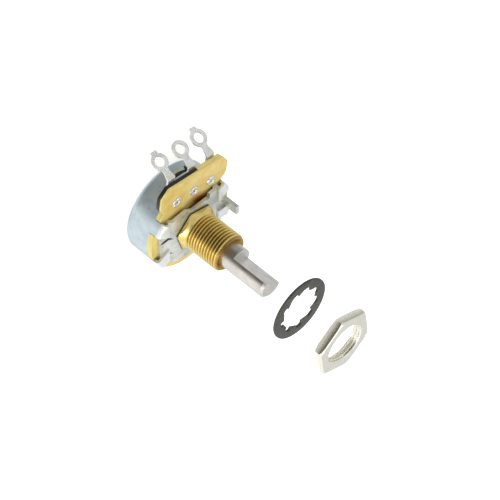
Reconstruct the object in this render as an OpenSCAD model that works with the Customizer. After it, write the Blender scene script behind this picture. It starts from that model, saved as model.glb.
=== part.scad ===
// Panel potentiometer: threaded bushing, round shaft with a flat, three solder lugs,
// with its internal-tooth lock washer and hex nut taken off along the shaft.
// Frame in mm: Z along the shaft, outwards; Y towards the solder lugs; X towards the
// locating lug side. Z = 0 is the can's flat back. The modules measure from the front of
// the mounting plate, where the bushing's hex sits, and up() lifts each by the can's depth.

/* [Can] */
// Outside radius of the can
can_r = 11.9; // [10:0.05:14]
// Depth of the can's back behind the mounting plate
can_back = 10.2; // [8.5:0.1:14]
// Sheet thickness of the can
can_t = 0.6; // [0.4:0.05:1]
// Radius of the can's rear edge
can_edge = 1.3; // [0.6:0.1:2]
// Half angle of the cut-out at the solder lugs
cut_half = 42; // [30:1:50]
// Directions of the four folded tabs
tab_dirs = [156, 213, 35, -8];
// Width of a folded tab
tab_w = 3.4; // [2:0.1:5]
// Half width of the rotor's stop tongue
stop_w = 2.4; // [1.5:0.1:3]

/* [Board] */
// Depth of the board's front face
board_z = 1.6; // [1.2:0.1:3]
// Thickness of the board
board_t = 1.5; // [1:0.1:2]
// Half width of the board's wing
wing_w = 10.2; // [9:0.1:12]
// Distance of the board's outer edge from the shaft axis
wing_y = 15.4; // [14:0.1:18]
// Width of the wing's corner cuts
cut_x = 2; // [1:0.1:3]
// Height of the wing's corner cuts
cut_y = 2.2; // [1:0.1:3]
// Width of the carbon track
track_w = 1.3; // [0.8:0.1:1.5]
// Width of the collector ring
coll_w = 0.9; // [0.6:0.1:1]
// Thickness of the printed layers
ink_t = 0.1; // [0.05:0.01:0.15]

/* [Plate] */
// Sheet thickness of the mounting plate
plate_t = 0.9; // [0.6:0.05:1.1]
// Half width of the mounting plate
plate_w = 7.3; // [6.8:0.1:8]
// Depth of the recess in the plate's edge beside the solder lugs
neck = 1.2; // [0.4:0.1:1.6]
// Length of the slope beside the plate's raised middle
ramp = 0.8; // [0.4:0.1:1.2]
// Turn of the plate about the shaft
plate_turn = 7; // [-20:1:20]
// Height of the locating lug in front of the plate
lug_h = 3.3; // [2:0.1:5]
// Width of the locating lug
lug_w = 2.5; // [1.5:0.1:4]

/* [Bushing] */
// Outside radius of the thread, 3/8 in
thread_r = 4.7625; // [4:0.0005:5.5]
// Length of the bushing in front of the plate
bush_l = 11; // [6:0.1:20]
// Corner radius of the hex at the bushing's base
hex_r = 6; // [5.5:0.05:7]
// Thickness of the hex
hex_t = 0.45; // [0.3:0.05:1]
// Height at which the cone over the hex ends
cone_z = 1.75; // [1.2:0.05:3]
// Turn of the hex
hex_turn = -7; // [-30:1:30]
// Chamfer at the bushing's front
front_cut = 0.45; // [0.2:0.05:0.6]
// Thickness of the bushing's front rim
rim_w = 0.4; // [0.3:0.05:0.6]

/* [Shaft] */
// Shaft radius, 1/4 in
shaft_r = 3.175; // [2.8:0.005:3.4]
// Front end of the shaft
shaft_l = 23.8; // [15:0.1:60]
// Distance from the axis to the flat
flat_d = 0.794; // [0.4:0.002:2.6]
// Where the flat begins
flat_z = 13.9; // [12:0.1:30]
// Direction the flat faces
flat_dir = 58; // [0:1:360]
// Radial play of the shaft in the bushing
shaft_play = 0.05; // [0.02:0.01:0.1]
// Width of the retaining ring
ring_w = 2; // [1:0.1:2.2]
// Thickness of the retaining ring
ring_t = 0.6; // [0.4:0.05:0.8]
// Thickness of the thrust washer
thrust_t = 0.3; // [0.2:0.05:0.4]

/* [Rotor] */
// Thickness of the insulator
ins_t = 1.2; // [0.8:0.1:1.6]
// Thickness of the driver plate
driver_t = 0.8; // [0.5:0.1:1.2]
// Half width of the driver's arm
arm_w = 2; // [1:0.1:2.4]
// Sheet thickness of the wiper
wiper_t = 0.2; // [0.15:0.05:0.3]

/* [Solder lugs] */
// Spacing of the solder lugs
lug_pitch = 6; // [5.2:0.1:7]
// Width of a lug's strip
strip_w = 2.2; // [1.7:0.1:3]
// Sheet thickness of a lug
strip_t = 0.45; // [0.3:0.05:0.6]
// Radius of the hole in a lug's eye
eye_hole = 1.25; // [0.8:0.05:1.6]
// Width of the eye's rim
eye_rim = 0.85; // [0.5:0.05:1]
// Backward bend of a lug
lug_bend = 61; // [0:1:90]
// Inside radius of the bend
bend_r = 0.3; // [0.2:0.05:0.6]
// Distance from the bend to the eye's centre
eye_l = 4.1; // [3.2:0.1:5]
// Radius of an eyelet's barrel
barrel_r = 0.9; // [0.7:0.05:1]

/* [Hardware] */
// Height of the lock washer's middle on the axis as shown
washer_z = 32.3; // [25:0.1:60]
// Outside radius of the lock washer
washer_r = 7.95; // [7:0.05:10]
// Gap between the washer's teeth and the thread
tooth_gap = 0.19; // [0.1:0.01:0.4]
// Length of the washer's teeth
tooth_l = 1; // [0.6:0.05:1.2]
// Thickness of the lock washer
washer_t = 0.6; // [0.4:0.05:1.2]
// Front face of the nut as shown
nut_z = 46; // [38:0.1:80]
// Nut across flats, 9/16 in
nut_af = 14.29; // [12:0.01:20]
// Thickness of the nut
nut_t = 2.3; // [1.8:0.1:4]
// Gap between the nut's hole and the thread
nut_gap = 0.0375; // [0.02:0.0005:0.1]
// Turn of the nut
nut_turn = 46; // [0:1:60]

/* [Hidden] */
$fn = 72;
steel = [0.72, 0.74, 0.75];
brass = [0.8, 0.63, 0.3];
bronze = [0.78, 0.55, 0.3];
phenolic = [0.83, 0.69, 0.32];
fibre = [0.36, 0.2, 0.1];
tin = [0.8, 0.8, 0.78];

fit = 0.02;
far = 40;
rear = board_z + board_t;
tab_z = plate_t - board_z;
can_in = can_r - can_t;
// the plate's raised middle, its two ends and the locating lug's thickness
bridge = hex_r + 0.7;
end_l = can_r - 1.9;
end_r = can_r - 1.3;
lug_t = 0.85;
// the bushing's spigot through the plate, its staked flange and the board's hole round it
spigot_r = thread_r - 0.46;
stake_r = spigot_r + 0.8;
hole_r = stake_r + 0.3;
bush_z = rear - 0.5;
bore_r = shaft_r + shaft_play;
// the shaft's groove and its thinner rear journal
groove_r = shaft_r - 0.575;
journal_r = shaft_r - 0.975;
ring_z = bush_z + thrust_t;
seat_z = rear + 1.3;
driver_z = seat_z + ins_t;
head_z = driver_z + driver_t;
// tracks on the board's rear
track_r = can_r - 1.7;
coll_r = hole_r + 0.3;
rotor_r = can_r - 4.2;
arm_r = can_r - 1.3;
// the lugs' feet and their eyelets
foot_z = rear + ink_t;
eyelet_y = plate_w + 2.6;
flange_r = barrel_r + 0.45;
flange_t = 0.3;
foot_r = barrel_r + 0.4;
mid_x = 0.3;
eyelets = [[0.7 - lug_pitch, eyelet_y], [0, eyelet_y + 0.2], [lug_pitch - 0.7, eyelet_y]];
bend_y = wing_y + 0.55;
eye_r = eye_hole + eye_rim;
// the washer's teeth
tip_r = thread_r + tooth_gap;
root_r = tip_r + tooth_l;
teeth = 9;

module up() { translate([0, 0, can_back]) children(); }
module disc(r, z0, z1) { translate([0, 0, z0]) cylinder(r = r, h = z1 - z0); }
module ring(ri, ro, z0, z1) { difference() { disc(ro, z0, z1); disc(ri, z0 - 1, z1 + 1); } }
module sector(a0, a1, r, z0, z1) {
  n = ceil((a1 - a0) / 30);
  translate([0, 0, z0]) linear_extrude(z1 - z0)
    polygon(concat([[0, 0]], [for (i = [0:n]) let (a = a0 + (a1 - a0) * i / n) [r * cos(a), r * sin(a)]]));
}
module bar(x0, x1, y0, y1, z0, z1) { translate([x0, y0, z0]) cube([x1 - x0, y1 - y0, z1 - z0]); }
module post(p, r, z0, z1) { translate([p[0], p[1], z0]) cylinder(r = r, h = z1 - z0); }
// a profile of (y, z) points, extruded over x0..x1
module side_profile(pts, x0, x1) {
  translate([x0, 0, 0]) rotate([90, 0, 90]) linear_extrude(x1 - x0) polygon(pts);
}

// the drawn cup, with a lip all round at the height of the folded tabs
module cup() {
  lip = tab_z + can_t;
  inner = can_edge - can_t;
  rotate_extrude() polygon(concat(
    [[0, -can_back], [can_r - can_edge, -can_back]],
    [for (a = [18:18:90]) [can_r - can_edge + can_edge * sin(a), can_edge * (1 - cos(a)) - can_back]],
    [[can_r, lip - 0.4], [can_r - 0.4, lip], [rotor_r, lip], [rotor_r, tab_z], [can_in, tab_z], [can_in, can_edge - can_back]],
    [for (a = [22.5:22.5:67.5]) [can_r - can_edge + inner * cos(a), can_edge - inner * sin(a) - can_back]],
    [[can_r - can_edge, can_t - can_back], [0, can_t - can_back]]));
}

// what stands above the cup's rim: four tabs that come up through the board and fold over the plate
module tab_room() {
  for (a = tab_dirs) rotate([0, 0, a]) bar(0, far, -tab_w / 2, tab_w / 2, -rear - 1, far);
}
// the tabs end clear of the plate's raised middle and of its locating lug
module plate_room() {
  gap = 0.15;
  rotate([0, 0, plate_turn]) {
    bar(-bridge - ramp - gap, bridge + ramp + gap, -far, far, tab_z - gap, far);
    bar(0, far, -lug_w / 2 - gap, lug_w / 2 + gap, tab_z - gap, far);
  }
}

module can_cover() up() {
  stop_z = -driver_z - driver_t / 2;
  window = stop_w + 0.5;
  color(steel) {
    difference() {
      cup();
      difference() { disc(far, -rear, far); tab_room(); }
      plate_room();
      // the side at the solder lugs is cut low
      intersection() { sector(90 - cut_half, 90 + cut_half, far, -rear - 1.9, far); bar(-far, far, 2, far, -rear - 1.9, far); }
      // window that the stop tongue is lanced from
      bar(-window, window, can_r - 1.5, far, stop_z - 1.6, stop_z + 0.1);
    }
    // stop tongue, pushed in for the rotor to end against
    side_profile([[can_r - 0.4, stop_z - 2.1], [can_r - 0.15, stop_z - 1.6], [can_r - 1.95, stop_z + 0.3],
      [can_r - 2.55, stop_z + 0.1], [can_r - 0.8, stop_z - 1.9]], -stop_w, stop_w);
  }
}

// plate's outline in its own turned frame
plate_edge = [[-end_l, -4.6], [-7.4, -plate_w + 0.7], [-3.2, -plate_w - 0.7], [4.6, -plate_w - 0.7], [7.4, -plate_w],
  [end_r - 0.7, -4], [end_r, -lug_w / 2], [end_r, lug_w / 2], [end_r - 1, 4.6], [7.8, plate_w - 0.2], [4.8, plate_w - 0.2],
  [4.4, plate_w - neck], [-0.6, plate_w - neck], [-2.4, plate_w], [-7.4, plate_w - 0.4], [-end_l, 4.5]];

module mounting_plate() up() {
  foot = bridge + ramp;
  bevel = 0.4;
  color(steel) rotate([0, 0, plate_turn]) {
    difference() {
      intersection() {
        rotate([90, 0, 0]) linear_extrude(far, center = true) polygon([[-end_l, -board_z], [bevel - foot, -board_z],
          [bevel - bridge, -plate_t], [bridge - bevel, -plate_t], [foot - bevel, -board_z], [end_r, -board_z],
          [end_r, tab_z], [foot, tab_z], [bridge, 0], [-bridge, 0], [-foot, tab_z], [-end_l, tab_z]]);
        linear_extrude(12, center = true) polygon(plate_edge);
        disc(can_in - 0.05, -rear, 1);
      }
      disc(spigot_r + fit, -rear, 1);
    }
    // locating lug, bent up
    bar(end_r - lug_t, end_r, -lug_w / 2, lug_w / 2, tab_z, lug_h);
  }
}

module bushing() up() {
  recess = 0.9;
  color(brass) difference() {
    union() {
      intersection() {
        rotate([0, 0, hex_turn]) cylinder(r = hex_r, h = cone_z, $fn = 6);
        union() {
          disc(hex_r + 1, 0, hex_t);
          translate([0, 0, hex_t]) cylinder(r1 = hex_r, r2 = thread_r, h = cone_z - hex_t);
        }
      }
      rotate_extrude() polygon([[0, -bush_z], [spigot_r, -bush_z], [spigot_r, -plate_t - 0.6], [stake_r, -plate_t - 0.5],
        [stake_r, -plate_t], [spigot_r, -plate_t], [spigot_r, 0], [thread_r, 0], [thread_r, bush_l - front_cut],
        [thread_r - front_cut, bush_l], [0, bush_l]]);
    }
    disc(bore_r, -rear, bush_l + 1);
    translate([0, 0, bush_l - recess]) cylinder(r1 = bore_r, r2 = thread_r - front_cut - rim_w, h = recess);
  }
}

module base_board() up() {
  slot_r = sqrt(pow(can_in, 2) - pow(tab_w / 2, 2)) - 0.1;
  color(phenolic) difference() {
    union() {
      disc(can_r, -rear, -board_z);
      translate([0, 0, -rear]) linear_extrude(board_t)
        polygon([[2 - wing_w, 4.5], [wing_w - 2, 4.5], [wing_w - 1.6, 7.4], [wing_w, 10], [wing_w, wing_y - cut_y], [wing_w - cut_x, wing_y],
          [cut_x - wing_w, wing_y], [-wing_w, wing_y - cut_y], [-wing_w, 10], [1.6 - wing_w, 7.4]]);
    }
    disc(hole_r, -far, 0);
    for (p = eyelets) post(p, barrel_r, -far, 0);
    // notches for the can's tabs
    for (a = tab_dirs) rotate([0, 0, a]) bar(slot_r, far, -tab_w / 2 - 0.15, tab_w / 2 + 0.15, -far, 0);
  }
}

module track(z1) { ring(track_r - track_w, track_r, -rear - ink_t, z1); }

module carbon_track() up() {
  color([0.08, 0.08, 0.09]) difference() {
    track(-rear);
    sector(50, 130, far, -far, 0);
  }
}

// printed pad between a track end and the outer lug's eyelet
module end_pad(i, a0) {
  p = eyelets[i];
  a = a0 + 8;
  q = [(track_r - track_w / 2) * cos(a), (track_r - track_w / 2) * sin(a)];
  color([0.78, 0.78, 0.8]) difference() {
    union() {
      intersection() { track(-rear); sector(a0, a0 + 16, far, -far, 0); }
      translate([0, 0, -rear - ink_t]) linear_extrude(ink_t) polygon([[q[0] - 0.6, q[1]], [q[0] + 0.6, q[1]], [p[0] + 0.8, p[1]], [p[0] - 0.8, p[1]]]);
      post(p, foot_r, -rear - ink_t, -rear);
    }
    post(p, barrel_r, -far, 0);
  }
}
module end_pad_left() up() { end_pad(0, 114); }
module end_pad_right() up() { end_pad(2, 50); }

module collector_ring() up() {
  color(brass) difference() {
    union() {
      ring(coll_r, coll_r + coll_w, -rear - 0.3, -rear);
      bar(-0.8, 0.8, coll_r + coll_w - 0.3, eyelets[1][1], -rear - ink_t, -rear);
      post(eyelets[1], foot_r, -rear - ink_t, -rear);
    }
    post(eyelets[1], barrel_r, -far, 0);
  }
}

// a solder lug: foot under the board, then out, bent back, and ending in an eye
module terminal(x, i, nub) {
  p = eyelets[i];
  low = foot_z + strip_t;
  out = bend_r + strip_t;
  color(tin) {
    difference() {
      union() {
        post(p, foot_r, -low, -foot_z);
        translate([0, 0, -low]) linear_extrude(strip_t) polygon([[p[0] - 1.2, p[1]], [p[0] + 1.2, p[1]],
          [x + strip_w / 2, wing_y - 2.4], [x + strip_w / 2, bend_y], [x - strip_w / 2, bend_y], [x - strip_w / 2, wing_y - 2.4]]);
      }
      post(p, barrel_r, -far, 0);
    }
    translate([x, bend_y, -low - bend_r]) {
      // the bend
      side_profile(concat([for (k = [0:6]) let (a = 90 - k * lug_bend / 6) [bend_r * cos(a), bend_r * sin(a)]],
        [for (k = [6:-1:0]) let (a = 90 - k * lug_bend / 6) [out * cos(a), out * sin(a)]]), -strip_w / 2, strip_w / 2);
      // the slanted part with the eye
      rotate([-lug_bend, 0, 0]) translate([0, 0, bend_r]) difference() {
        union() {
          linear_extrude(strip_t) polygon([[-strip_w / 2, 0], [strip_w / 2, 0], [0.8, 1.3], [0.8, eye_l - eye_r + 0.4],
            [-0.8, eye_l - eye_r + 0.4], [-0.8, 1.3]]);
          post([0, eye_l], eye_r, 0, strip_t);
          if (nub) bar(-0.85, 0.85, eye_l + eye_r - 0.4, eye_l + eye_r + 0.6, 0, strip_t);
        }
        post([0, eye_l], eye_hole, -1, strip_t + 1);
      }
    }
  }
}
module terminal_left() up() { terminal(-lug_pitch, 0, true); }
module terminal_middle() up() { terminal(mid_x, 1, false); }
module terminal_right() up() { terminal(lug_pitch, 2, true); }

module eyelet(i) {
  p = eyelets[i];
  low = foot_z + strip_t;
  color(tin) difference() {
    union() {
      post(p, barrel_r, -low, -board_z);
      post(p, flange_r, -board_z, flange_t - board_z);
      post(p, barrel_r + 0.2, -low - flange_t, -low);
    }
    post(p, barrel_r / 2, -far, 0);
  }
}
module eyelet_left() up() { eyelet(0); }
module eyelet_middle() up() { eyelet(1); }
module eyelet_right() up() { eyelet(2); }

module thrust_washer() up() { color(phenolic) ring(shaft_r + 0.075, spigot_r + 0.7, -ring_z, -bush_z); }

module shaft() up() {
  head_t = 0.4;
  head_r = shaft_r - 0.275;
  tip = 0.5;
  color([0.75, 0.75, 0.76]) difference() {
    rotate_extrude() polygon([[0, -head_z - head_t], [head_r, -head_z - head_t], [head_r, -head_z], [journal_r, -head_z],
      [journal_r, -seat_z], [shaft_r, -seat_z], [shaft_r, -ring_z - ring_t], [groove_r, -ring_z - ring_t], [groove_r, -ring_z],
      [shaft_r, -ring_z], [shaft_r, shaft_l - tip], [shaft_r - tip, shaft_l], [0, shaft_l]]);
    rotate([0, 0, flat_dir]) bar(flat_d, far, -far, far, flat_z, shaft_l + 1);
  }
}

module retaining_ring() up() {
  color(steel) difference() {
    ring(groove_r + fit, groove_r + ring_w, -ring_z - ring_t, -ring_z);
    rotate([0, 0, 200]) bar(0, far, -1.3, 1.3, -far, 0);
  }
}

module rotor_insulator() up() { color(fibre) ring(journal_r + fit, rotor_r, -driver_z, -seat_z); }

module wiper_spring() up() {
  base_r = shaft_r + 2.025;
  z0 = -seat_z;
  z1 = wiper_t - seat_z;
  // contact radii and the surfaces they touch
  t = track_r - track_w / 2;
  tz = -rear - ink_t;
  c = coll_r + coll_w / 2;
  cz = -rear - 0.3;
  color(bronze) {
    ring(shaft_r + 0.125, base_r, z0, z1);
    bar(-0.8, 0.8, 0.3 - rotor_r, 0.2 - base_r, z0, z1);
    side_profile([[0.5 - rotor_r, z0], [-t - 0.05, tz - 0.2], [-t - 0.25, tz], [0.35 - t, tz], [0.45 - t, tz - 0.15], [0.6 - rotor_r, z1]], -0.8, 0.8);
    side_profile([[base_r - 0.3, z0], [c + 0.1, cz - 0.25], [c + 0.3, cz], [c - 0.3, cz], [c - 0.4, cz - 0.2], [base_r - 0.4, z1]], -0.6, 0.6);
  }
}

module driver_plate() up() {
  color(steel) difference() {
    union() { disc(shaft_r + 1.225, -head_z, -driver_z); bar(-arm_w, arm_w, -arm_r, -shaft_r, -head_z, -driver_z); }
    disc(journal_r + fit, -far, 0);
  }
}

module lock_washer() up() {
  color([0.16, 0.16, 0.17]) translate([0, 0, washer_z - washer_t / 2]) {
    ring(root_r, washer_r, 0, washer_t);
    for (k = [0:teeth - 1]) rotate([0, 0, 360 / teeth * k + 14]) linear_extrude(washer_t)
      polygon([[tip_r, -0.85], [root_r + 0.25, -1.25], [root_r + 0.25, 1.25], [tip_r, 0.85]]);
  }
}

module hex_nut() up() {
  edge = 0.6;
  flat_r = nut_af / 2 + 0.1;
  color([0.78, 0.76, 0.7]) translate([0, 0, nut_z - nut_t]) difference() {
    intersection() {
      rotate([0, 0, nut_turn]) cylinder(r = nut_af / sqrt(3), h = nut_t, $fn = 6);
      union() {
        cylinder(r1 = flat_r, r2 = flat_r + 1.5, h = edge);
        disc(flat_r + 1.5, edge, nut_t - edge);
        translate([0, 0, nut_t - edge]) cylinder(r1 = flat_r + 1.5, r2 = flat_r, h = edge);
      }
    }
    disc(thread_r + nut_gap, -1, nut_t + 1);
  }
}

can_cover();
mounting_plate();
bushing();
base_board();
carbon_track();
end_pad_left();
end_pad_right();
collector_ring();
terminal_left();
terminal_middle();
terminal_right();
eyelet_left();
eyelet_middle();
eyelet_right();
thrust_washer();
shaft();
retaining_ring();
rotor_insulator();
wiper_spring();
driver_plate();
lock_washer();
hex_nut();
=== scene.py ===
# Looks of the panel potentiometer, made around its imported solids.
# Pieces are made in millimetres from the mounting plate's front, z along the shaft.
# piece() turns them into metres from the can's back.
import math
import bpy, bmesh
from mathutils import Matrix, Vector


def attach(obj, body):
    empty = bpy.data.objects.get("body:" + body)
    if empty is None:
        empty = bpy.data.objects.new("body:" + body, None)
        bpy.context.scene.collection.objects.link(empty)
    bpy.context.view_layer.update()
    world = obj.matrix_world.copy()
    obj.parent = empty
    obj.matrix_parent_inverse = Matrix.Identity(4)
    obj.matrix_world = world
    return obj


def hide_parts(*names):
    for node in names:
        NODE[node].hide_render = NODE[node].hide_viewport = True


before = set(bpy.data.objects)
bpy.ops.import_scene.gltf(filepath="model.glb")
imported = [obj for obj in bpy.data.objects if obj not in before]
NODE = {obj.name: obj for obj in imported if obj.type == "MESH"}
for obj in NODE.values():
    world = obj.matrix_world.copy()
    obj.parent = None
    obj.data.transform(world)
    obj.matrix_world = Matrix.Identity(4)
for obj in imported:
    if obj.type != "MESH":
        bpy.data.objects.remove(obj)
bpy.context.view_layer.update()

MM = 0.001
UP = 10.2            # the mounting plate's front lies this far above the can's back

# ---------------------------------------------------------------- camera: the photograph's view
RIGHT = (0.6942, 0.1055, 0.7120)
DOWN = (-0.4640, -0.6906, 0.5548)
PLATE_IN_VIEW = (-0.012277, -0.005211, 0.600)     # the plate's front, right, down and away from the camera
FRAME_PIXELS = 500
SENSOR = 36
FOCAL_PIXELS = 2692.37


def make_camera():
    right, down = Vector(RIGHT).normalized(), Vector(DOWN).normalized()
    down = (down - right * down.dot(right)).normalized()
    away = right.cross(down)
    x, y, z = PLATE_IN_VIEW
    data = bpy.data.cameras.new("camera")
    data.sensor_width = SENSOR
    data.lens = FOCAL_PIXELS / FRAME_PIXELS * SENSOR
    data.clip_start, data.clip_end = 0.01, 20
    cam = bpy.data.objects.new("camera", data)
    cam.matrix_world = Matrix((right, -down, -away)).transposed().to_4x4()
    cam.location = Vector((0, 0, UP * MM)) - right * x - down * y - away * z
    bpy.context.collection.objects.link(cam)
    bpy.context.scene.camera = cam


make_camera()


# ---------------------------------------------------------------- node trees
class Value:
    """A node's output. Sums, products and comparisons of values add their Math nodes."""
    def __init__(self, owner, socket):
        self.owner, self.socket = owner, socket

    def maths(self, operation, *terms):
        return self.owner.node("ShaderNodeMath", {"operation": operation}, dict(enumerate(terms)))

    def __add__(self, other):
        return self.maths("ADD", self, other)

    def __radd__(self, other):
        return self.maths("ADD", other, self)

    def __mul__(self, other):
        return self.maths("MULTIPLY", self, other)

    def __rmul__(self, other):
        return self.maths("MULTIPLY", other, self)

    def __pow__(self, other):
        return self.maths("POWER", self, other)

    def __gt__(self, other):
        return self.maths("GREATER_THAN", self, other)

    def __lt__(self, other):
        return self.maths("LESS_THAN", self, other)

    def __abs__(self):
        return self.maths("ABSOLUTE", self)


class Nodes:
    """The node tree of a material, of the world or of a modifier."""
    def __init__(self, tree):
        self.tree = tree

    def node(self, kind, settings=None, sockets=None, out=0):
        """Adds a node: its settings first, then the values or links of its sockets; gives one of its outputs."""
        n = self.tree.nodes.new(kind)
        for key, value in (settings or {}).items():
            if key == "stops":
                stops = n.color_ramp.elements
                while len(stops) < len(value):
                    stops.new(0.5)
                for stop, (place, grey) in zip(stops, value):
                    stop.position, stop.color = place, (grey, grey, grey, 1)
            else:
                setattr(n, key, value)
        for key, value in (sockets or {}).items():
            self.feed(n.inputs[key], value)
        return Value(self, n.outputs[out])

    def feed(self, socket, value):
        if isinstance(value, Value):
            self.tree.links.new(value.socket, socket)
        elif isinstance(value, tuple) and socket.type == "RGBA":
            socket.default_value = (*value, 1)
        else:
            socket.default_value = value

    def mix(self, share, below, above):
        return self.node("ShaderNodeMix", {"data_type": "RGBA"}, {0: share, 6: below, 7: above}, 2)

    def ramp(self, value, *stops):
        """Greys by the value; a stop is (place, grey)."""
        return self.node("ShaderNodeValToRGB", {"stops": stops}, {0: value})


class Finish(Nodes):
    """A material, with noise and masks placed on the object's coordinates."""
    def __init__(self, name):
        self.mat = bpy.data.materials.new(name)
        self.mat.use_nodes = True
        super().__init__(self.mat.node_tree)
        self.shader = self.tree.nodes["Principled BSDF"]
        self.where = self.node("ShaderNodeTexCoord", out="Object")
        self.facing = Value(self, self.where.socket.node.outputs["Normal"])

    def noise(self, scale, stretch=(1, 1, 1), detail=4, rough=0.55):
        """Noise of so many cells per metre, stretched along the object's axes."""
        spot = self.node("ShaderNodeMapping", {}, {"Vector": self.where, "Scale": stretch})
        return self.node("ShaderNodeTexNoise", {}, {"Vector": spot, "Scale": scale, "Detail": detail,
                                                    "Roughness": rough})

    def place(self):
        """x, y, z and the distance from the shaft's axis, in millimetres; z from the can's back."""
        x, y, z = (self.node("ShaderNodeSeparateXYZ", {}, {0: self.where}, axis) * 1000 for axis in "XYZ")
        return x, y, z, (x * x + y * y) ** 0.5

    def rising(self, value, low, high, first=0.0, last=1.0):
        """first up to low, last from high on."""
        return self.node("ShaderNodeMapRange", {}, {"Value": value, "From Min": low, "From Max": high,
                                                    "To Min": first, "To Max": last})

    def near(self, x, y, wide, deep, turn=7):
        """1 in the middle of an ellipse across the shaft, 0 at its edge."""
        spot = self.node("ShaderNodeMapping", {"vector_type": "TEXTURE"},
                         {"Vector": self.where, "Location": (x * MM, y * MM, 0),
                          "Rotation": (0, 0, math.radians(turn)), "Scale": (wide * MM, deep * MM, 1000)})
        away = self.node("ShaderNodeVectorMath", {"operation": "LENGTH"}, {0: spot}, "Value")
        return self.ramp(away, (0.25, 1.0), (1.0, 0.0))

    def bumps(self, *heights, edge=0.07):
        """Eases the edges by a small radius, then adds each (height, depth in metres)."""
        normal = self.node("ShaderNodeBevel", {"samples": 4}, {"Radius": edge * MM})
        for height, depth in heights:
            normal = self.node("ShaderNodeBump", {}, {"Distance": depth, "Height": height, "Normal": normal})
        self.feed(self.shader.inputs["Normal"], normal)

    def done(self, colour, rough, metal=1.0, others=None):
        values = {"Base Color": colour, "Roughness": rough, "Metallic": metal, **(others or {})}
        for key, value in values.items():
            self.feed(self.shader.inputs[key], value)
        return self.mat


def darker(colour, share):
    return tuple(c * share for c in colour)


# ---------------------------------------------------------------- finishes
# painted shade: near black for the can's inside, where shade falls
PAINTED_SHADE_INSIDE = (0.07, 0.07, 0.07)
# painted highlight: pale colour for the can's tabs that fold over the plate
PAINTED_TAB_HIGHLIGHT = (0.88, 0.90, 0.88)
# painted shade: near black for dark slits on the plate
PAINTED_SLIT_SHADE = (0.012, 0.013, 0.012)
# painted shade: dark brown for the thread's roots and the bushing's front recess
PAINTED_THREAD_ROOT_SHADE = (0.42, 0.24, 0.04)
LAMINATE_FIBRE = (0.52, 0.31, 0.04)
# painted shadow: deep brown for the board beside the plate's raised neck
PAINTED_SHADOW_BROWN = (0.20, 0.06, 0.003)
# painted shade: near black for the board's outer edge by the terminals
PAINTED_EDGE_SHADE = (0.018, 0.013, 0.008)

# where they are, in millimetres; heights are from the can's back
CAN_INNER_R, CAN_FLOOR, BOARD_REAR = 11.36, 0.4, 7.15
THREAD_ROOT_R, THREAD_FLANK_R = 4.36, 4.64
HEX_SIDE_TOP = UP + 0.34
# where the painted shadow lies on the board beside the plate's neck
PAINTED_SHADOW_PLACE = (1.9, 6.4, 4.8, 2.4, -12)     # x, y, half its length, half its width, turn
# dark slits of painted shade on the plate: x, y, half their length, half their width
SLIT_SHADE_PLACES = ((-8.5, 0.4, 1.8, 0.5), (-7.6, -4.5, 1.5, 0.3))


def zinc(name, pale, dull, rough, ripple, metal, is_can=False, shade_slits=()):
    """Bright zinc plate over steel: cloudy, with faint drawing lines and small scuffs. On the can, painted shade
    darkens the inside and a painted highlight lightens the folded tabs; on the plate, dark slits are painted
    shade.
    """
    m = Finish(name)
    cloud = m.noise(260, detail=3)
    scuff = m.noise(1500, (1, 1, 0.25), detail=6, rough=0.7)
    drawing_lines = m.noise(7000, (1, 1, 0.1), detail=2)
    colour = m.mix(m.ramp(cloud, (0.35, 0.0), (0.65, 1.0)), dull, pale)
    colour = m.mix(m.ramp(scuff, (0.60, 0.0), (0.76, 0.35)), colour, darker(dull, 0.8))
    if is_can:
        x, y, z, reach = m.place()
        # painted shade: the can's inside, from its floor up to the board's rear, is painted near black
        within = (reach < CAN_INNER_R) * (z > CAN_FLOOR) * (z < BOARD_REAR)
        colour = m.mix(within, colour, PAINTED_SHADE_INSIDE)
        # painted highlight: the can's parts that reach up to the plate, its folded tabs, are painted pale
        colour = m.mix(m.rising(z, UP - 1.3, UP - 0.9), colour, PAINTED_TAB_HIGHLIGHT)
    # painted shade: each slit is painted near black
    for slit in shade_slits:
        colour = m.mix(m.ramp(m.near(*slit), (0.05, 0.0), (0.3, 1.0)), colour, PAINTED_SLIT_SHADE)
    shine = m.ramp(m.noise(900, detail=5), (0.3, rough * 0.7), (0.7, rough * 1.4))
    m.bumps((cloud, ripple), (scuff, 0.000006), (drawing_lines, 0.0000015))
    return m.done(colour, shine, metal)


def turned(name, pale, dull, rough, hex_side_shade=None):
    """Turned metal: fine rings round the axis, a little stain.

    hex_side_shade is a dark colour of painted shade for the bushing's hexagon sides; it also turns on painted
    shade in the thread's roots.
    """
    m = Finish(name)
    ring = m.noise(9000, (0.004, 0.004, 1), detail=3, rough=0.7)
    stain = m.noise(420, detail=5, rough=0.65)
    colour = m.mix(m.ramp(stain, (0.38, 0.0), (0.66, 1.0)), dull, pale)
    colour = m.mix(m.ramp(ring, (0.3, 0.25), (0.6, 0.0)), colour, darker(dull, 0.6))
    if hex_side_shade:
        x, y, z, reach = m.place()
        in_thread = (z > UP + 1.7) * (z < UP + 12)
        # painted shade: the thread's roots, and the front recess inside them, are painted darker
        colour = m.mix(m.rising(reach, THREAD_ROOT_R, THREAD_FLANK_R, 0.85, 0.0) * in_thread, colour, PAINTED_THREAD_ROOT_SHADE)
        # painted shade: the hexagon's low sides are painted near black
        colour = m.mix((z > UP) * (z < HEX_SIDE_TOP), colour, hex_side_shade)
    m.bumps((ring, 0.000003), (m.noise(2500, detail=3), 0.000003), edge=0.05)
    return m.done(colour, m.ramp(stain, (0.3, rough * 1.35), (0.7, rough * 0.75)))


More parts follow.
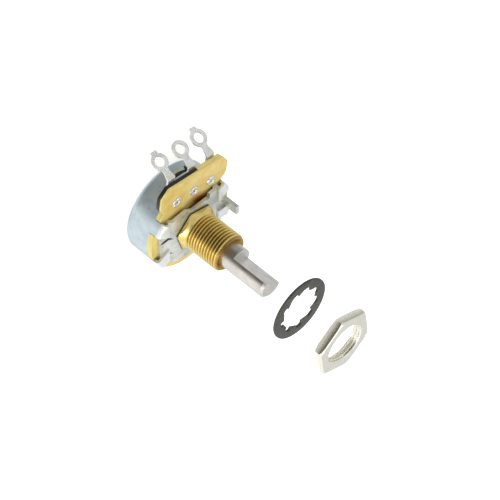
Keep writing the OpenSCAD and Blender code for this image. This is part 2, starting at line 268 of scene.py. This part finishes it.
def plated(name, pale, dull, rough, wave, metal=1.0, worn_below=None):
    """Tin or nickel plate: soft waves, small dull spots. Below the height worn_below it is worn matt."""
    m = Finish(name)
    waves = m.noise(700, detail=2)
    spots = m.noise(2600, detail=5, rough=0.7)
    colour = m.mix(m.ramp(waves, (0.3, 0.0), (0.7, 1.0)), dull, pale)
    colour = m.mix(m.ramp(spots, (0.63, 0.0), (0.75, 0.55)), colour, darker(dull, 0.7))
    if worn_below:
        metal = m.rising(m.place()[2], worn_below - 1.1, worn_below, 0.5, metal)
    m.bumps((waves, wave), (spots, 0.0000015))
    return m.done(colour, m.ramp(spots, (0.3, rough * 0.8), (0.7, rough * 1.4)), metal)


def laminate(name):
    """Punched paper laminate: tan, cloudy, with paper fibres; its cut edges show the layers. A painted shadow
    lies beside the plate's neck, and painted shade darkens its outer edge by the terminals.
    """
    m = Finish(name)
    cloud = m.noise(330, detail=4, rough=0.6)
    fibre = m.noise(3800, (1, 0.12, 1), detail=4, rough=0.7)
    layer = m.noise(9000, (0.02, 0.02, 1), detail=2)
    face = m.mix(m.ramp(cloud, (0.32, 0.0), (0.68, 1.0)), (0.76, 0.53, 0.12), (0.86, 0.69, 0.25))
    face = m.mix(m.ramp(fibre, (0.55, 0.0), (0.8, 0.45)), face, LAMINATE_FIBRE)
    # painted shadow: a brown patch on the board beside the plate's neck
    face = m.mix(m.near(*PAINTED_SHADOW_PLACE), face, PAINTED_SHADOW_BROWN)
    edge = m.mix(m.ramp(layer, (0.35, 0.0), (0.65, 1.0)), (0.56, 0.42, 0.09), (0.82, 0.70, 0.27))
    x, y, z, reach = m.place()
    # painted shade: the board's outer edge, left of the middle terminal, is painted near black
    shaded_edge = (z > UP - 3.2) * (z < UP - 2.15) * (y > 8.6) * (x < 1.2)
    edge = m.mix(shaded_edge, edge, PAINTED_EDGE_SHADE)
    upright = abs(m.node("ShaderNodeSeparateXYZ", {}, {0: m.facing}, "Z"))
    colour = m.mix(m.ramp(upright, (0.45, 0.0), (0.75, 1.0)), edge, face)
    m.bumps((fibre, 0.000008), (cloud, 0.00001), edge=0.05)
    return m.done(colour, m.ramp(fibre, (0.3, 0.34), (0.7, 0.52)), 0.0, {"Coat Weight": 0.12})


def grained(name, pale, dull, rough, metal=0.0):
    """Pressed, printed or blackened: fine grain, matt."""
    m = Finish(name)
    grain = m.noise(5200, (1, 0.4, 1), detail=5, rough=0.7)
    cloud = m.noise(600, detail=3)
    colour = m.mix(m.ramp(cloud, (0.3, 0.0), (0.7, 1.0)), dull, pale)
    colour = m.mix(m.ramp(grain, (0.5, 0.0), (0.8, 0.6)), colour, darker(dull, 0.5))
    m.bumps((grain, 0.000008), (cloud, 0.000006), edge=0.04)
    return m.done(colour, m.ramp(grain, (0.3, rough * 0.85), (0.7, rough * 1.2)), metal)


CAN = zinc("can_zinc", (0.63, 0.73, 0.78), (0.50, 0.59, 0.64), 0.36, 0.00001, 0.75, is_can=True)
PLATE = zinc("plate_zinc", (0.79, 0.80, 0.75), (0.53, 0.56, 0.52), 0.32, 0.0001, 0.65,
             shade_slits=SLIT_SHADE_PLACES)
BRASS = turned("bushing_brass", (0.91, 0.74, 0.30), (0.80, 0.60, 0.19), 0.27, hex_side_shade=(0.07, 0.065, 0.018))
ALUMINIUM = turned("shaft_aluminium", (0.82, 0.79, 0.75), (0.70, 0.67, 0.64), 0.30)
NICKEL = plated("nut_nickel", (0.96, 0.94, 0.83), (0.89, 0.87, 0.76), 0.17, 0.000006,
                worn_below=UP + 45.5)
TIN = plated("lug_tin", (0.90, 0.90, 0.87), (0.70, 0.70, 0.67), 0.24, 0.00003, 0.7)
BRONZE = plated("contact_bronze", (0.78, 0.46, 0.20), (0.60, 0.33, 0.12), 0.25, 0.00001)
SPRING = plated("ring_spring_steel", (0.42, 0.42, 0.44), (0.28, 0.28, 0.31), 0.32, 0.00001)
BLACK = grained("washer_black", (0.105, 0.105, 0.092), (0.080, 0.080, 0.070), 0.50, metal=0.5)
CARBON = grained("track_carbon", (0.035, 0.035, 0.04), (0.02, 0.02, 0.024), 0.55)
SILVER = grained("pad_silver", (0.60, 0.60, 0.62), (0.42, 0.42, 0.45), 0.45, metal=0.6)
FIBRE = grained("insulator_fibre", (0.20, 0.075, 0.03), (0.12, 0.045, 0.02), 0.6)
BOARD = laminate("board_phenolic")

FINISH = {
    "can_cover": CAN, "mounting_plate": PLATE, "base_board": BOARD, "carbon_track": CARBON,
    "end_pad_left": SILVER, "end_pad_right": SILVER, "collector_ring": BRONZE, "wiper_spring": BRONZE,
    "terminal_left": TIN, "terminal_middle": TIN, "terminal_right": TIN,
    "eyelet_left": TIN, "eyelet_middle": TIN, "eyelet_right": TIN,
    "thrust_washer": FIBRE, "rotor_insulator": FIBRE, "retaining_ring": SPRING, "driver_plate": PLATE,
    "bushing": BRASS, "shaft": ALUMINIUM, "lock_washer": BLACK, "hex_nut": NICKEL}


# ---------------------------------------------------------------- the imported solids' own shading
def real_edges():
    """A modifier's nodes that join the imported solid's split points and keep its real edges sharp."""
    group = bpy.data.node_groups.new("real_edges", "GeometryNodeTree")
    for way in ("INPUT", "OUTPUT"):
        group.interface.new_socket("Geometry", in_out=way, socket_type="NodeSocketGeometry")
    m = Nodes(group)
    solid = m.node("NodeGroupInput")
    solid = m.node("GeometryNodeMergeByDistance", {}, {"Geometry": solid, "Distance": 0.001 * MM})
    solid = m.node("GeometryNodeSetShadeSmooth", {"domain": "FACE"}, {"Geometry": solid, "Shade Smooth": True})
    sharp = m.node("GeometryNodeInputMeshEdgeAngle") > math.radians(50)
    solid = m.node("GeometryNodeSetShadeSmooth", {"domain": "EDGE"},
                   {"Geometry": solid, "Selection": sharp, "Shade Smooth": False})
    m.feed(group.nodes.new("NodeGroupOutput").inputs[0], solid)
    return group


def weighted_normals(ob):
    ob.modifiers.new("weighted", "WEIGHTED_NORMAL").keep_sharp = True


EDGES = real_edges()
for node_name, ob in NODE.items():
    ob.data.materials.clear()
    ob.data.materials.append(FINISH[node_name])
    ob.modifiers.new("real_edges", "NODES").node_group = EDGES
    weighted_normals(ob)


# ---------------------------------------------------------------- making pieces
WHOLE_TURN = 2 * math.pi
AXIS = (0, 0, 1)
ROUND = 162          # points round the bushing and the nut, 27 for each side of a hexagon


def points_of(geom):
    return [v for v in geom if isinstance(v, bmesh.types.BMVert)]


def line(bm, points):
    """A few points joined by edges."""
    verts = [bm.verts.new(p) for p in points]
    return verts + [bm.edges.new(pair) for pair in zip(verts, verts[1:])]


def spoke(bm, angle, rows):
    """A line of (radius, z) points in the plane at an angle round the shaft."""
    return line(bm, [(r * math.cos(angle), r * math.sin(angle), z) for r, z in rows])


def drawn_out(bm, edges):
    """Extrudes edges where they are; gives the new points and edges."""
    geom = bmesh.ops.extrude_edge_only(bm, edges=edges)["geom"]
    fresh = set(points_of(geom))
    return points_of(geom), [e for e in geom if isinstance(e, bmesh.types.BMEdge) and fresh.issuperset(e.verts)]


def ringed(bm, rows, count=ROUND, turn=0.0, capped=False):
    """Draws a ring of points out row by row; a row is (radius, z), or a function of the angle that gives them."""
    start = Matrix.Rotation(turn - math.pi / 2, 4, "Z")
    ring = bmesh.ops.create_circle(bm, segments=count, radius=1, matrix=start)["verts"]
    edges = first = list(dict.fromkeys(e for v in ring for e in v.link_edges))
    for k, row in enumerate(rows):
        if k:
            ring, edges = drawn_out(bm, edges)
        for v in ring:
            a = math.atan2(v.co.y, v.co.x)
            r, z = row(a) if callable(row) else row
            v.co = (r * math.cos(a), r * math.sin(a), z)
    if capped:
        for rim in (first, edges):
            bmesh.ops.edgeloop_fill(bm, edges=rim)


def piece(name, bm, body, node_name, crease=35):
    """Makes the mesh an object that rides on the body and stands for the CAD node."""
    bmesh.ops.remove_doubles(bm, verts=bm.verts, dist=0.0005)
    bmesh.ops.dissolve_degenerate(bm, edges=bm.edges, dist=0.0001)
    bmesh.ops.recalc_face_normals(bm, faces=bm.faces)
    for f in bm.faces:
        f.smooth = True
    for e in bm.edges:
        e.smooth = e.calc_face_angle(0.0) < math.radians(crease)
    bmesh.ops.translate(bm, vec=(0, 0, UP), verts=bm.verts)
    bmesh.ops.scale(bm, vec=(MM, MM, MM), verts=bm.verts)
    me = bpy.data.meshes.new(name)
    bm.to_mesh(me)
    bm.free()
    ob = bpy.data.objects.new(name, me)
    bpy.context.collection.objects.link(ob)
    me.materials.append(FINISH[node_name])
    weighted_normals(ob)
    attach(ob, body)
    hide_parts(node_name)
    return ob


def hex_reach(a, corner, turn):
    """Distance from the axis to a hexagon's side in direction a."""
    return corner * math.cos(math.pi / 6) / math.cos((a - turn) % (math.pi / 3) - math.pi / 6)


# ---------------------------------------------------------------- thread, bushing and nut
PITCH = 25.4 / 32
# the thread's section over one pitch: (share of the pitch, share of the depth)
SECTION = ((0.0, 0.0), (0.13, 0.0), (0.18, 0.08), (0.31, 0.5), (0.44, 0.93), (0.49, 1.0),
           (0.58, 1.0), (0.63, 0.93), (0.76, 0.5), (0.89, 0.08), (0.94, 0.0), (1.0, 0.0))


def thread(bm, turn, start, end, low, high, reach):
    """A right-hand thread in an empty bm: one turn is spun, then repeated up the axis.

    Its section goes from radius low to high; reach(z, height) then gives the radius where the thread runs out.
    """
    section = spoke(bm, turn, [(low + (high - low) * h, start + (share - 1) * PITCH) for share, h in SECTION])
    bmesh.ops.spin(bm, geom=section, axis=AXIS, dvec=(0, 0, PITCH / ROUND), angle=WHOLE_TURN, steps=ROUND)
    one_turn = bm.verts[:] + bm.edges[:] + bm.faces[:]
    for k in range(1, math.ceil((end - start) / PITCH) + 1):
        copy = bmesh.ops.duplicate(bm, geom=one_turn)["geom"]
        bmesh.ops.translate(bm, vec=(0, 0, k * PITCH), verts=points_of(copy))
    for v in bm.verts:
        r, z = v.co.xy.length, min(max(v.co.z, start), end)
        wide = reach(z, (r - low) / (high - low))
        v.co = (v.co.x * wide / r, v.co.y * wide / r, z)


def bushing():
    crest, depth = 4.7625, 0.43
    corner, turn, edge, cone_r = 6.0, math.radians(-7), 0.45, 5.7
    seat, length, chamfer, run_out = 1.75, 11.0, 0.45, 0.35
    spigot, stake, plate, bore, rear = 4.3025, 5.1025, 0.9, 3.225, -2.6

    def reach(z, height):
        full = min(1.0, (z - seat) / run_out)
        return min(crest - depth * (1 - height) * full, crest - (z - (length - chamfer)))

    def cone(share):
        """From the hexagon's edge, at 0, to the thread, at 1."""
        def row(a):
            wide = hex_reach(a, corner, turn)
            r = wide + (crest - wide) * share
            return r, edge + (seat - edge) * min(1.0, max(0.0, (cone_r - r) / (cone_r - crest)))
        return row

    bm = bmesh.new()
    thread(bm, turn, seat, length, crest - depth, crest, reach)
    rows = [(bore, rear), (spigot, rear), (spigot, -plate - 0.6), (stake, -plate - 0.5), (stake, -plate),
            (spigot, -plate), (spigot, 0), lambda a: (hex_reach(a, corner, turn), 0)]
    ringed(bm, rows + [cone(share) for share in (0.0, 0.25, 0.5, 0.75, 1.0)], turn=turn)
    rim = crest - chamfer
    ringed(bm, [(rim, length), (rim - 0.06, length), (rim - 0.36, length), (rim - 0.42, length - 0.06),
                (bore + 0.25, length - 0.8), (bore, length - 0.95), (bore, 3.0), (bore, rear)], turn=turn)
    return piece("bushing_threaded", bm, "base", "bushing", crease=33)


def hex_nut():
    corner, turn, low, top = 14.29 / math.sqrt(3), math.radians(46), 43.7, 46.0
    face_r, bore, depth = 7.245, 4.8, 0.40

    def shoulder(z, inward, share):
        """The eased edge between a face at z and the sides, from 0 on the face to 1 on the side."""
        def row(a):
            h = hex_reach(a, corner, turn)
            down = max(0.3, (h - face_r) / 2.5 + 0.16)
            width = max(0.3, h - face_r)
            s = share * math.pi / 2
            return h - width * (1 - math.sin(s)), z + inward * down * (1 - math.cos(s))
        return row

    def reach(z, height):
        sink = max(0.0, depth - min(z - low, top - z))
        return bore + max(depth * height, sink)

    steps = (0.0, 0.25, 0.5, 0.75, 1.0)
    bm = bmesh.new()
    thread(bm, turn, low, top, bore, bore + depth, reach)
    ringed(bm, [(bore + depth, low)] + [shoulder(low, 1, t) for t in steps]
           + [shoulder(top, -1, t) for t in reversed(steps)] + [(bore + depth, top)], turn=turn)
    return piece("nut_threaded", bm, "nut", "hex_nut", crease=35)


# ---------------------------------------------------------------- lock washer, shaft and eyelets
def lock_washer():
    mid, thick, outer, root, tip, teeth = 32.3, 0.58, 7.95, 5.9525, 4.9525, 9
    share, half, first = WHOLE_TURN / teeth, math.radians(10.8), math.radians(14)
    hair = 0.001
    bm = bmesh.new()

    # one tooth's share of the ring: a radial line swept over the tooth, then over the gap
    side = spoke(bm, first - half, [(r, 0) for r in (root, root + 0.5, outer)])
    side = bmesh.ops.spin(bm, geom=side, axis=AXIS, angle=2 * half, steps=10)["geom_last"]
    rim = [e for e in bm.edges if all(abs(v.co.length - root) < hair for v in e.verts)]
    bmesh.ops.spin(bm, geom=side, axis=AXIS, angle=share - 2 * half, steps=8)
    for t in (0.25, 0.5, 0.75, 1.0):
        ring, rim = drawn_out(bm, rim)
        for v in ring:
            v.co = v.co.normalized() * (root + (tip - root) * t)

    # the whole ring, and its thickness
    bmesh.ops.spin(bm, geom=bm.verts[:] + bm.edges[:] + bm.faces[:], axis=AXIS, angle=WHOLE_TURN - share,
                   steps=teeth - 1, use_duplicate=True)
    bmesh.ops.remove_doubles(bm, verts=bm.verts, dist=hair)
    upper = bmesh.ops.extrude_face_region(bm, geom=bm.faces[:])["geom"]
    bmesh.ops.translate(bm, vec=(0, 0, thick), verts=points_of(upper))
    bmesh.ops.translate(bm, vec=(0, 0, -thick / 2), verts=bm.verts)

    # each tooth narrows, thins and twists towards its tip, and its foot is rounded
    for v in bm.verts:
        r, a, z = v.co.xy.length, math.atan2(v.co.y, v.co.x), v.co.z
        off = (a - first + share / 2) % share - share / 2
        if r < root - hair:
            t, u = (root - r) / (root - tip), off / half
            a -= off * 0.10 * t
            r += 0.05 * t * u * u
            z = math.copysign(thick / 2 - 0.17 * t, z) + 0.17 * u * t
        elif r < root + hair and abs(off) > half - hair:
            from_middle = (share / 2 - abs(off)) / (share / 2 - half)
            r += 0.02 - 0.2 * from_middle ** 4
        v.co = (r * math.cos(a), r * math.sin(a), z)

    rims = [e for e in bm.edges if all(v.co.xy.length > outer - hair for v in e.verts)
            and abs(e.verts[0].co.z - e.verts[1].co.z) < hair]
    bmesh.ops.bevel(bm, geom=rims, offset=0.13, segments=2, profile=0.5, affect="EDGES", material=-1)
    bmesh.ops.translate(bm, vec=(0, 0, mid), verts=bm.verts)
    return piece("washer_toothed", bm, "washer", "lock_washer", crease=30)


def shaft():
    r0, length, flat, flat_z, tip = 3.175, 23.8, 0.794, 13.9, 0.5
    turn = math.radians(58)
    journal, groove, seat, ring, head = 2.2, 2.6, -4.4, -2.9, -6.4
    count = 143      # puts points on the flat's two corners

    def milled(r, z):
        def row(a):
            c = math.cos(a - turn)
            return (min(r, flat / c) if c > 0.05 else r), z
        return row

    rows = [(2.9, head - 0.4), (2.9, head), (journal, head), (journal, seat), (r0, seat), (r0, ring - 0.6),
            (groove, ring - 0.6), (groove, ring), (r0, ring), (r0, 10.0), (r0, flat_z)]
    rows += [milled(r0, z) for z in (flat_z, 16, 19, 22, length - tip)]
    rows += [milled(r0 - tip / 2, length - tip / 2), milled(r0 - tip, length)]
    bm = bmesh.new()
    ringed(bm, rows, count, turn, capped=True)
    return piece("shaft_turned", bm, "rotor", "shaft", crease=30)


def eyelet(side, x, y, turn):
    """A hollow rivet, its rolled rim split into four petals."""
    def petal(r, z):
        def row(a):
            return r * (1 - 0.24 * max(0.0, math.cos(4 * (a - turn))) ** 8), z
        return row

    rows = [(0.45, -2.2), (0.47, -1.62), (0.55, -1.42), (0.68, -1.32), (0.86, -1.30), petal(1.08, -1.33),
            petal(1.25, -1.42), petal(1.34, -1.52), petal(1.35, -1.6), (0.9, -1.6), (0.9, -3.65), (1.1, -3.65),
            (1.1, -3.85), (1.0, -3.95), (0.6, -3.95), (0.45, -3.8), (0.45, -2.2)]
    bm = bmesh.new()
    ringed(bm, rows, 64)
    bmesh.ops.translate(bm, vec=(x, y, 0), verts=bm.verts)
    return piece("eyelet_" + side + "_rolled", bm, "base", "eyelet_" + side, crease=50)


bushing()
hex_nut()
lock_washer()
shaft()
eyelet("left", -5.3, 9.9, 0.3)
eyelet("middle", 0, 10.1, 0.9)
eyelet("right", 5.3, 9.9, 0.6)


# ---------------------------------------------------------------- floor, light and world
def floor():
    bm = bmesh.new()
    just_below = Matrix.Translation((0, 0, -0.05 * MM))
    bmesh.ops.create_circle(bm, cap_ends=True, segments=48, radius=2.5, matrix=just_below)
    me = bpy.data.meshes.new("floor")
    bm.to_mesh(me)
    bm.free()
    ob = bpy.data.objects.new("floor", me)
    bpy.context.collection.objects.link(ob)
    m = Finish("floor_paper")
    grain = m.noise(900, detail=4)
    colour = m.mix(m.ramp(grain, (0.3, 0.0), (0.7, 1.0)), (0.90, 0.90, 0.90), (0.94, 0.94, 0.94))
    own_light = {"Emission Color": (1, 1, 1), "Emission Strength": 0.55, "Specular IOR Level": 0.0}
    me.materials.append(m.done(colour, m.ramp(grain, (0.0, 0.8), (1.0, 0.95)), 0.0, own_light))
    ob.visible_glossy = False


def direction(azimuth, elevation):
    a, e = math.radians(azimuth), math.radians(elevation)
    return Vector((math.cos(a) * math.cos(e), math.sin(a) * math.cos(e), math.sin(e)))


def lamp(name, azimuth, elevation, size, power):
    data = bpy.data.lights.new(name, "AREA")
    data.shape, data.size, data.energy = "DISK", size, power
    ob = bpy.data.objects.new(name, data)
    way = direction(azimuth, elevation)
    ob.location = way * 0.5 + Vector((0, 0, 0.025))
    ob.rotation_euler = way.to_track_quat("Z", "Y").to_euler()
    bpy.context.collection.objects.link(ob)


def studio():
    """A world that is white to the camera, with a dark side for the metals to mirror."""
    world = bpy.data.worlds.new("studio")
    bpy.context.scene.world = world
    world.use_nodes = True
    m = Nodes(world.node_tree)
    where = m.node("ShaderNodeTexCoord", out="Generated")

    def toward(azimuth, elevation, near, far, most=1.0):
        """0 further than far degrees from the direction, most within near degrees of it."""
        along = m.node("ShaderNodeVectorMath", {"operation": "DOT_PRODUCT"},
                       {0: where, 1: tuple(direction(azimuth, elevation))}, "Value")
        return m.node("ShaderNodeMapRange", {"interpolation_type": "SMOOTHSTEP"},
                      {"Value": along, "From Min": math.cos(math.radians(far)),
                       "From Max": math.cos(math.radians(near)), "To Min": 0.0, "To Max": most})

    light = m.mix(toward(215, 0, 25, 90), (0.72, 0.73, 0.74), (1.10, 1.10, 1.07))
    light = m.mix(toward(60, -40, 18, 56, 0.62), light, (0.10, 0.10, 0.07))
    light = m.mix(toward(125, -12, 32, 59), light, (0.145, 0.130, 0.105))
    seen = m.mix(m.node("ShaderNodeLightPath", out="Is Camera Ray"), light, (1.0, 1.0, 1.0))
    background = world.node_tree.nodes["Background"]
    m.feed(background.inputs["Color"], seen)
    m.feed(background.inputs["Strength"], 1.0)


floor()
lamp("key", 191, 37, 0.2, 0.5)
lamp("top", 300, 70, 0.3, 0.5)
studio()
bpy.context.scene.view_settings.view_transform = "Standard"
